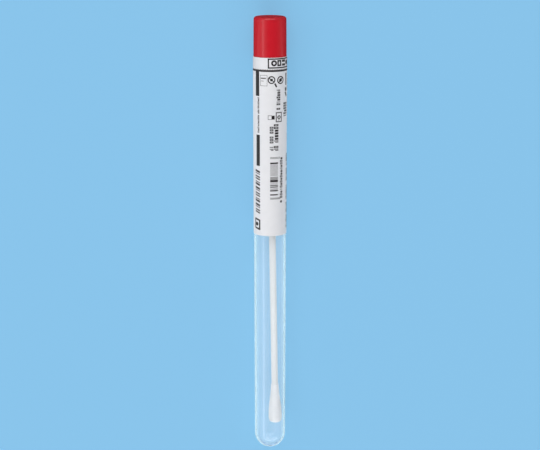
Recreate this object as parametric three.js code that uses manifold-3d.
// Specimen swab tube: a clear round-ended transport tube, the push-in cap that closes it, the
// swab that the cap carries, and a wrapped paper label whose top strip seals the cap down.
//
// Every piece is drawn in millimetres about the tube's own axis, Y. The tube's mouth is at
// y = 0, the cap rises above it, and depths run down from it towards the round end. The swab
// leans towards +X. The last block lays the closed tube on its side, with +Z up and the cap
// towards +Y, as it rests on a bench.

import * as THREE from 'three';
import { mergeVertices } from 'three/addons/utils/BufferGeometryUtils.js';
import Module from 'manifold-3d';

// ---- Driving dimensions ------------------------------------------------------------------

// Tube
const tubeLength = 146.5; // mouth to the outside of the round end
const mouthDiameter = 12.05; // outside, at the mouth
const endDiameter = 11.53; // outside, where the round end begins
const tubeWall = 0.8;
const rimChamfer = 0.25;

// Cap
const capHeight = 18.5; // above the tube's mouth
const capTopDiameter = 11.85;
const capEdgeRadius = 1.0;
const capTopWall = 1.4;
const capWebs = 4; // ribs that tie the socket to the skirt
const webThickness = 0.9;
const webHeight = 14.0; // down from the cap's top wall

// Plug, the ring of the cap that enters the tube
const plugDepth = 7.5;
const plugWall = 0.85;
const plugLeadIn = 0.8;
const beadCount = 2; // sealing beads round the plug
const beadPitch = 2.4;
const beadWidth = 0.9;

// Swab
const shaftDiameter = 2.5;
const socketDepth = 14.0; // how far the shaft is pressed into the cap
const socketWall = 0.9;
const socketRecess = 2.0; // socket's mouth above the plug's tip
const shaftLean = THREE.MathUtils.degToRad(0.92);
const bendLength = 6.0; // stretch below the socket over which the shaft takes up its lean
const tipGap = 8.9; // bud's tip to the inside of the round end
const budLength = 15.5;
const budDiameter = 5.1;
const budNeckDiameter = 2.95;
const budNose = 2.9; // tip to the bud's widest place
const shaftInBud = 12.0;

// Label
const labelThickness = 0.14;
const labelHeight = 61.5; // on the tube
const sealHeight = 4.2; // strip above the perforation, on the cap
const labelLap = 2.4; // where the label's end lies over its start
const lapAngle = THREE.MathUtils.degToRad(210); // middle of the lap, from +Z round by +X

// Clearances
const seatGap = 0.02; // cap's shoulder on the tube's rim
const plugClearance = 0.08;
const beadClearance = 0.02;
const pressGap = 0.03; // round the shaft, in the socket and in the bud
const adhesive = 0.02; // film under the label
const perforationGap = 0.04; // between the label and its seal strip

// Facets
const facets = 32; // round the tube, the cap and the label
const shaftSides = 16;
const arcSteps = 4; // in an eighth of a turn of the round end

// ---- Derived sizes that more than one piece uses -----------------------------------------

const mouthRadius = mouthDiameter / 2;
const endRadius = endDiameter / 2;
const shaftRadius = shaftDiameter / 2;
const roundCentre = tubeLength - endRadius; // depth at which the round end begins
const tubeDraft = (mouthRadius - endRadius) / roundCentre;
const capDraft = (mouthRadius - capTopDiameter / 2) / capHeight;

const tubeRadiusAt = (depth) => mouthRadius - tubeDraft * depth;
const boreRadiusAt = (depth) => tubeRadiusAt(depth) - tubeWall;
const capRadiusAt = (height) => mouthRadius - capDraft * height;

const socketMouth = -(plugDepth - socketRecess);
const boreRadius = shaftRadius + pressGap;

// ---- Tools -------------------------------------------------------------------------------

const wasm = await Module();
wasm.setup();

/** Turns a profile, drawn as radius and height, about Y, with flat facets facing X and Z. */
function revolve(profile) {
  const points = profile.map((point) => new THREE.Vector2(Math.max(point.x, 0), point.y));
  return new THREE.LatheGeometry(points, facets, Math.PI / facets);
}

/** The solid that a geometry's closed surface bounds. */
function solidOf(geometry) {
  const surface = geometry.clone();
  surface.deleteAttribute('normal');
  surface.deleteAttribute('uv');
  const merged = mergeVertices(surface);
  const corners = merged.index.array;
  const triangles = [];
  for (let i = 0; i < corners.length; i += 3) {
    const [a, b, c] = [corners[i], corners[i + 1], corners[i + 2]];
    if (a !== b && b !== c && c !== a) triangles.push(a, b, c);
  }
  const mesh = new wasm.Mesh({
    numProp: 3,
    vertProperties: new Float32Array(merged.attributes.position.array),
    triVerts: new Uint32Array(triangles),
  });
  return new wasm.Manifold(mesh);
}

/** The surface of a solid, as a geometry. */
function geometryOf(solid) {
  const mesh = solid.getMesh();
  const geometry = new THREE.BufferGeometry();
  geometry.setAttribute('position', new THREE.BufferAttribute(mesh.vertProperties, 3));
  geometry.setIndex(new THREE.BufferAttribute(mesh.triVerts, 1));
  geometry.computeVertexNormals();
  return geometry;
}

function piece(name, geometry, look) {
  const mesh = new THREE.Mesh(geometry, new THREE.MeshStandardMaterial(look));
  mesh.name = name;
  return mesh;
}

// ---- Tube --------------------------------------------------------------------------------

/** A drawn-down test tube: drafted wall, domed end of even thickness, chamfered rim. */
function makeTube() {
  const outline = new THREE.Path();
  outline.absarc(0, -roundCentre, endRadius, -Math.PI / 2, 0, false);
  outline.lineTo(tubeRadiusAt(rimChamfer), -rimChamfer);
  outline.lineTo(mouthRadius - rimChamfer, 0);
  outline.lineTo(boreRadiusAt(0) + rimChamfer, 0);
  outline.lineTo(boreRadiusAt(rimChamfer), -rimChamfer);
  outline.lineTo(boreRadiusAt(roundCentre), -roundCentre);
  outline.absarc(0, -roundCentre, endRadius - tubeWall, 0, -Math.PI / 2, true);
  return revolve(outline.getPoints(arcSteps));
}

// ---- Cap ---------------------------------------------------------------------------------

/** The plug's outside from the shoulder to its tip: a drafted ring with sealing beads. */
function plugOutside() {
  const plugRadiusAt = (depth) => boreRadiusAt(depth) - plugClearance;
  const points = [new THREE.Vector2(plugRadiusAt(0), seatGap)];
  const firstBead = (plugDepth - plugLeadIn - (beadCount - 1) * beadPitch) / 2;
  for (let bead = 0; bead < beadCount; bead += 1) {
    const middle = firstBead + bead * beadPitch;
    const start = middle - beadWidth / 2;
    const end = middle + beadWidth / 2;
    const crest = boreRadiusAt(end) - beadClearance;
    points.push(new THREE.Vector2(plugRadiusAt(start), -start));
    points.push(new THREE.Vector2(crest, -middle + beadWidth / 6));
    points.push(new THREE.Vector2(crest, -middle - beadWidth / 6));
    points.push(new THREE.Vector2(plugRadiusAt(end), -end));
  }
  const leadStart = plugDepth - plugLeadIn;
  points.push(new THREE.Vector2(plugRadiusAt(leadStart), -leadStart));
  points.push(new THREE.Vector2(plugRadiusAt(plugDepth) - plugLeadIn / 2, -plugDepth));
  return points;
}

/** A moulded stopper: skirt, top, plug and central socket in one wall, tied by radial webs. */
function makeCap() {
  const ceiling = capHeight - capTopWall;
  const cavityMouth = boreRadiusAt(plugDepth) - plugClearance - plugWall;
  const cavityTop = cavityMouth - capDraft * (ceiling + plugDepth);
  const socketRadius = boreRadius + socketWall;
  const socketRoot = socketRadius + capDraft * (ceiling - socketMouth);
  const socketTop = socketMouth + socketDepth + pressGap;
  const fillet = capTopWall / 3;
  const edgeCentre = capRadiusAt(capHeight) - capEdgeRadius;

  const outline = new THREE.Path();
  outline.moveTo(0, capHeight);
  outline.lineTo(edgeCentre, capHeight);
  outline.absarc(edgeCentre, capHeight - capEdgeRadius, capEdgeRadius, Math.PI / 2, 0, true);
  outline.lineTo(capRadiusAt(rimChamfer), rimChamfer);
  outline.lineTo(mouthRadius - rimChamfer, seatGap);
  for (const point of plugOutside()) outline.lineTo(point.x, point.y);
  outline.lineTo(cavityMouth, -plugDepth);
  outline.lineTo(cavityTop, ceiling - fillet);
  outline.lineTo(cavityTop - fillet, ceiling);
  outline.lineTo(socketRoot + fillet, ceiling);
  outline.lineTo(socketRoot, ceiling - fillet);
  outline.lineTo(socketRadius, socketMouth);
  outline.lineTo(boreRadius + socketWall / 3, socketMouth);
  outline.lineTo(boreRadius, socketMouth + socketWall / 3);
  outline.lineTo(boreRadius, socketTop);
  outline.lineTo(0, socketTop);

  let cap = solidOf(revolve(outline.getPoints(arcSteps).reverse()));
  const webInner = boreRadius + socketWall / 2;
  const webOuter = cavityMouth + plugWall / 2;
  const webFoot = ceiling - webHeight;
  const webTop = ceiling + capTopWall / 2;
  for (let web = 0; web < capWebs; web += 1) {
    const rib = new THREE.BoxGeometry(webOuter - webInner, webTop - webFoot, webThickness);
    rib.translate((webOuter + webInner) / 2, (webTop + webFoot) / 2, 0);
    rib.rotateY((web / capWebs) * 2 * Math.PI);
    cap = cap.add(solidOf(rib));
  }
  return geometryOf(cap);
}

// ---- Swab --------------------------------------------------------------------------------

const swabTip = -(tubeLength - tubeWall - tipGap); // height of the bud's tip
const bendRadius = bendLength / shaftLean;
const bendEnd = new THREE.Vector3(
  bendRadius * (1 - Math.cos(shaftLean)),
  socketMouth - bendRadius * Math.sin(shaftLean),
  0,
);
const leanDirection = new THREE.Vector3(Math.sin(shaftLean), -Math.cos(shaftLean), 0);

/** A point on the leaning stretch of the shaft's centre line, at a given height. */
function leanPointAt(height) {
  const run = (height - bendEnd.y) / leanDirection.y;
  return bendEnd.clone().addScaledVector(leanDirection, run);
}

const tipPoint = leanPointAt(swabTip);
const shaftEnd = tipPoint.clone().addScaledVector(leanDirection, shaftInBud - budLength);

/** Centre line of the shaft: straight in the socket, an easy bend, then straight and leaning. */
class ShaftLine extends THREE.Curve {
  constructor() {
    super();
    this.inSocket = socketDepth;
    this.total = socketDepth + bendLength + bendEnd.distanceTo(shaftEnd);
  }

  getPoint(t, target = new THREE.Vector3()) {
    const run = t * this.total - this.inSocket;
    if (run <= 0) return target.set(0, socketMouth - run, 0);
    if (run >= bendLength) {
      return target.copy(bendEnd).addScaledVector(leanDirection, run - bendLength);
    }
    const turn = run / bendRadius;
    const across = bendRadius * (1 - Math.cos(turn));
    return target.set(across, socketMouth - bendRadius * Math.sin(turn), 0);
  }
}

/** A plain round plastic rod, swept along its centre line. */
function makeShaft() {
  const line = new ShaftLine();
  const section = new THREE.Shape();
  section.absarc(0, 0, shaftRadius, 0, 2 * Math.PI, false);
  return new THREE.ExtrudeGeometry(section, {
    steps: Math.ceil(line.total / (bendLength / 2)),
    curveSegments: shaftSides / 2,
    extrudePath: line,
  });
}

/** A wound fibre bud: it swells from a slim neck to a blunt nose, over the shaft's end. */
function makeBud() {
  const widest = budDiameter / 2;
  const neck = budNeckDiameter / 2;
  const outline = new THREE.Path();
  outline.absellipse(0, budNose, widest, budNose, -Math.PI / 2, 0, false);
  const steps = 2 * arcSteps;
  for (let step = 1; step <= steps; step += 1) {
    const along = step / steps;
    const swell = (1 + Math.cos(Math.PI * along)) / 2;
    outline.lineTo(neck + (widest - neck) * swell, budNose + (budLength - budNose) * along);
  }
  outline.lineTo(boreRadius, budLength);
  outline.lineTo(boreRadius, budLength - shaftInBud - pressGap);
  outline.lineTo(0, budLength - shaftInBud - pressGap);
  return revolve(outline.getPoints(arcSteps));
}

// ---- Label -------------------------------------------------------------------------------

/** A band of the label between two heights, wrapped on a cone, with its lap standing proud. */
function wrap(low, high, surfaceRadiusAt) {
  const layers = (count) => {
    const inside = (height) => surfaceRadiusAt(height) + adhesive;
    const outside = (height) => inside(height) + count * labelThickness;
    const section = [
      new THREE.Vector2(inside(low), low),
      new THREE.Vector2(outside(low), low),
      new THREE.Vector2(outside(high), high),
      new THREE.Vector2(inside(high), high),
      new THREE.Vector2(inside(low), low),
    ];
    return solidOf(revolve(section));
  };

  const reach = mouthDiameter;
  const halfLap = labelLap / mouthDiameter;
  const sector = new THREE.Shape();
  sector.moveTo(0, 0);
  for (const angle of [lapAngle - halfLap, lapAngle + halfLap]) {
    sector.lineTo(reach * Math.sin(angle), reach * Math.cos(angle));
  }
  sector.closePath();
  const wedge = new THREE.ExtrudeGeometry(sector, {
    depth: high - low + 2 * labelThickness,
    bevelEnabled: false,
  });
  wedge.rotateX(Math.PI / 2);
  wedge.translate(0, high + labelThickness, 0);
  return geometryOf(layers(1).add(layers(2).intersect(solidOf(wedge))));
}

const makeLabel = () => {
  const top = -perforationGap / 2;
  return wrap(top - labelHeight, top, (height) => tubeRadiusAt(-height));
};

const makeSealBand = () => {
  const foot = perforationGap / 2;
  return wrap(foot, foot + sealHeight, capRadiusAt);
};

// ---- Assembly ----------------------------------------------------------------------------

const clearPlastic = { color: 0xdcebf5, roughness: 0.1, transparent: true, opacity: 0.35 };
const redPlastic = { color: 0xc21e2a, roughness: 0.35 };
const whitePlastic = { color: 0xe6e6e4, roughness: 0.5 };
const fibre = { color: 0xf2f2f0, roughness: 0.95 };
const paper = { color: 0xe2e1e5, roughness: 0.6 };

const bud = piece('swab_bud', makeBud(), fibre);
bud.position.copy(tipPoint);
bud.rotation.z = shaftLean;

const swabTube = new THREE.Group();
swabTube.add(
  piece('tube', makeTube(), clearPlastic),
  piece('cap', makeCap(), redPlastic),
  piece('swab_shaft', makeShaft(), whitePlastic),
  bud,
  piece('label', makeLabel(), paper),
  piece('seal_band', makeSealBand(), paper),
);

// The tube lies along a straight line of its drafted, labelled wall, so its axis rises towards
// the mouth by the draft. The origin is on the bench, under the middle of the whole.
swabTube.rotation.x = Math.atan(tubeDraft);
const extent = new THREE.Box3().setFromObject(swabTube, true);
const middle = extent.getCenter(new THREE.Vector3());
swabTube.position.set(-middle.x, -middle.y, -extent.min.z);

export default swabTube;
